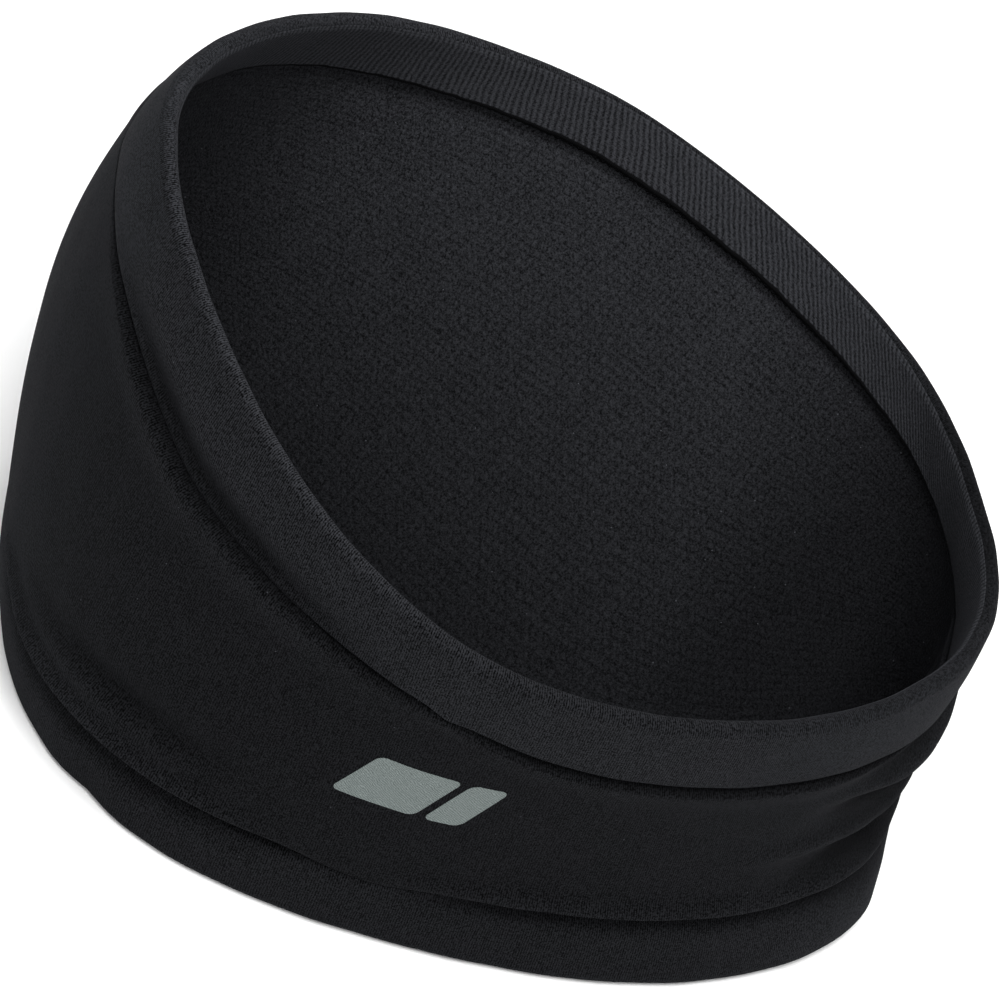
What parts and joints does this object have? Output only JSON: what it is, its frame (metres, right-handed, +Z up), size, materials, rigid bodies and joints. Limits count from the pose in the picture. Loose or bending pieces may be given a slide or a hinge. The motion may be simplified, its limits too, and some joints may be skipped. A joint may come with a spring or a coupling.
{
  "type": "sports headband",
  "caption": "Wide knitted headband for sport: a seamless tube, taller over the forehead, with turned hems, a reflective film on one temple, and the other wall lying in.",
  "frame": {"origin": "under the middle of the headband, on the surface that it stands on", "axes": "+Z up from the lower rim to the upper rim, -Y towards the forehead, +Y towards the nape, +X towards the wearer's left temple, where the film is"},
  "size_m": [0.1588, 0.1982, 0.109],
  "materials": {
    "body_knit": "black jersey knit, smooth fine wales outside and brushed pile inside",
    "hem_knit": "black jersey knit turned double, fine wales outside and coarser ribs on the turned-in face",
    "seam_thread": "black spun sewing thread, matt",
    "reflective_film": "grey retroreflective transfer film, satin with a fine ripple from the knit under it"
  },
  "bodies": {
    "root": {"band_body": "body_knit", "upper_hem": "hem_knit", "lower_hem": "hem_knit", "upper_seam_thread": "seam_thread", "lower_seam_thread": "seam_thread", "upper_edge_thread": "seam_thread", "lower_edge_thread": "seam_thread", "reflective_film_long": "reflective_film", "reflective_film_short": "reflective_film"}
  },
  "joints": []
}
